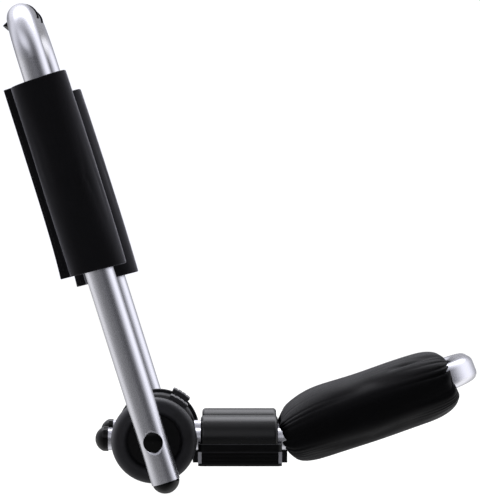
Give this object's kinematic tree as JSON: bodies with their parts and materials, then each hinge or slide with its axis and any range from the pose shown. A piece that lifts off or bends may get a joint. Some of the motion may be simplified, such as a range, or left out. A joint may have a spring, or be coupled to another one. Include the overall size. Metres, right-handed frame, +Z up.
{
  "type": "j style kayak carrier",
  "caption": "J-shaped rooftop carrier with a padded upright tube loop that folds down on dial hinges over a cushioned cradle arm, on a crossbar clamp block",
  "frame": {"origin": "middle of the flat seat under the clamp block, where it lies on the crossbar", "axes": "+X along the crossbar towards the cradle tip, +Y towards the far side, +Z up"},
  "size_m": [0.4761, 0.241, 0.4855],
  "materials": {
    "tube": "satin silver anodised tube",
    "plate": "plain mill aluminium",
    "pad_fabric": "black woven nylon over foam",
    "cushion_fabric": "black woven nylon over foam",
    "gloss_black": "glossy black",
    "dial_plastic": "satin black, fine grain",
    "button_plastic": "satin black",
    "clamp_plastic": "satin black",
    "bush_plastic": "natural acetal",
    "rubber": "matt black rubber",
    "steel": "zinc-plated steel"
  },
  "bodies": {
    "base": {"button_spring_far": "steel", "button_spring_near": "steel", "clamp_base": "clamp_plastic", "clamp_nut_1": "steel", "clamp_nut_2": "steel", "clamp_nut_3": "steel", "clamp_nut_4": "steel", "clamp_screw_1": "steel", "clamp_screw_2": "steel", "clamp_screw_3": "steel", "clamp_screw_4": "steel", "clamp_top": "clamp_plastic", "cradle_end_cap_far": "gloss_black", "cradle_end_cap_near": "gloss_black", "cradle_loop": "tube", "cradle_pad": "cushion_fabric", "end_plate_left": "plate", "end_plate_right": "plate", "hinge_hub_far": "dial_plastic", "hinge_hub_near": "dial_plastic", "pivot_bolt_far": "steel", "pivot_bolt_near": "steel", "pivot_nut_far": "steel", "pivot_nut_near": "steel", "seat_pad": "rubber"},
    "upright": {"upright_loop": "tube", "upright_end_cap_near": "gloss_black", "upright_end_cap_far": "gloss_black", "upright_pad_near": "pad_fabric", "upright_pad_far": "pad_fabric", "strap_keeper": "button_plastic", "hinge_dial_near": "dial_plastic", "hinge_dial_far": "dial_plastic", "dial_bush_near": "bush_plastic", "dial_bush_far": "bush_plastic", "pivot_washer_near": "steel", "pivot_washer_far": "steel", "pivot_cap_near": "gloss_black", "pivot_cap_far": "gloss_black"},
    "near_button": {"release_button_near": "button_plastic"},
    "far_button": {"release_button_far": "button_plastic"}
  },
  "joints": [
    {"name": "upright_fold", "type": "hinge", "parent": "base", "child": "upright", "pos_m": [-0.085, 0, 0.0255], "axis": [0, 1, 0], "range_deg": [0, 107]},
    {"name": "near_release", "type": "slide", "parent": "base", "child": "near_button", "axis": [-0.5373, 0, -0.8434], "range_m": [0, 0.003], "stiffness_N_per_m": 900, "springref_m": -0.004, "deforming": ["button_spring_near"]},
    {"name": "far_release", "type": "slide", "parent": "base", "child": "far_button", "axis": [-0.5373, 0, -0.8434], "range_m": [0, 0.003], "stiffness_N_per_m": 900, "springref_m": -0.004, "deforming": ["button_spring_far"]}
  ]
}
